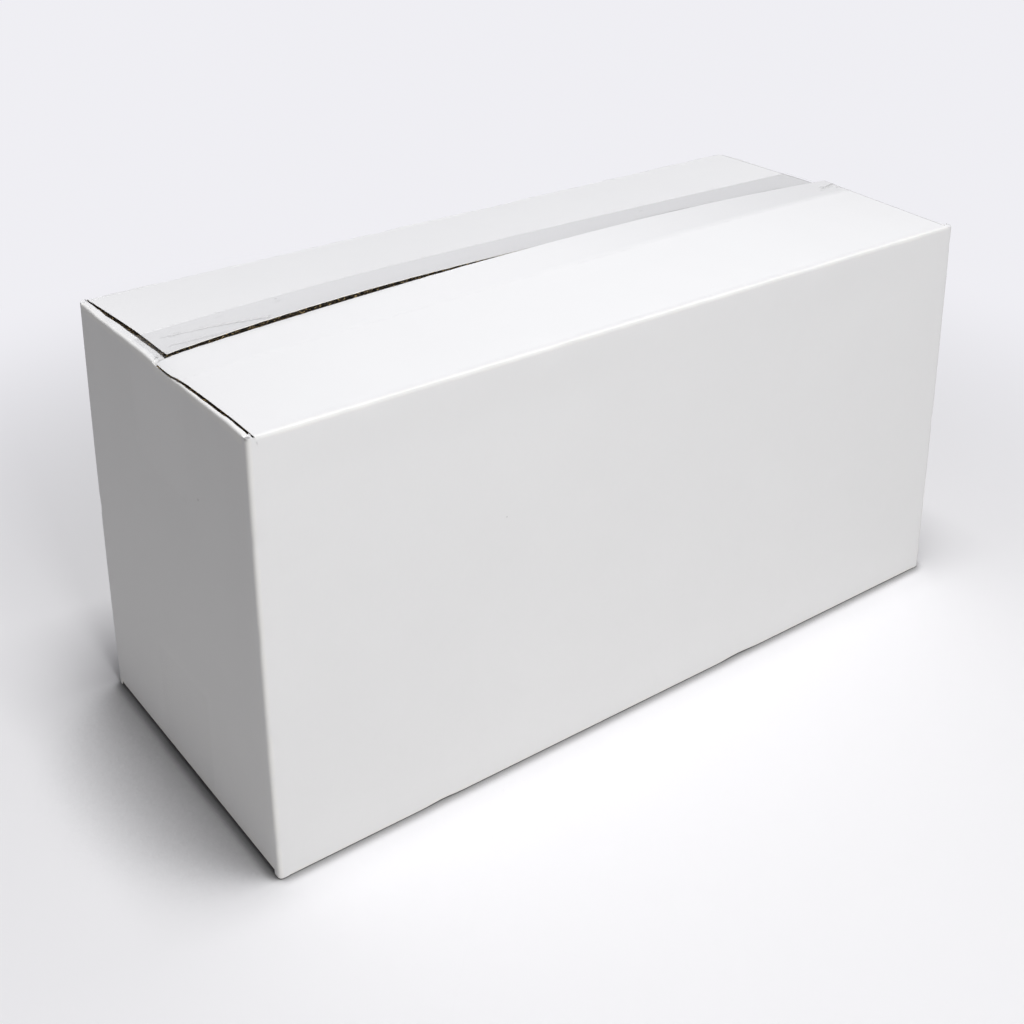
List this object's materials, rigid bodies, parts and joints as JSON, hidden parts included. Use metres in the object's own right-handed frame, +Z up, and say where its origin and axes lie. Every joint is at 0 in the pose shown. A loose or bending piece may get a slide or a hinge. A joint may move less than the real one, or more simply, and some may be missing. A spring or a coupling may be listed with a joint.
{
  "type": "regular slotted carton",
  "caption": "Long rectangular corrugated carton with folded flaps that meet at a centre seam, closed and sealed with clear tape over the top and the bottom.",
  "frame": {"origin": "on the ground under the middle of the carton", "axes": "+X along the length and the seam, +Y across the width towards the back long panel, +Z up"},
  "size_m": [0.4006, 0.168, 0.2121],
  "materials": {
    "board": "white-faced corrugated board, matt, kraft brown at the cut edges",
    "tape": "clear glossy packing tape"
  },
  "bodies": {
    "root": {"carton_blank": "board", "top_tape": "tape", "bottom_tape": "tape"}
  },
  "joints": []
}
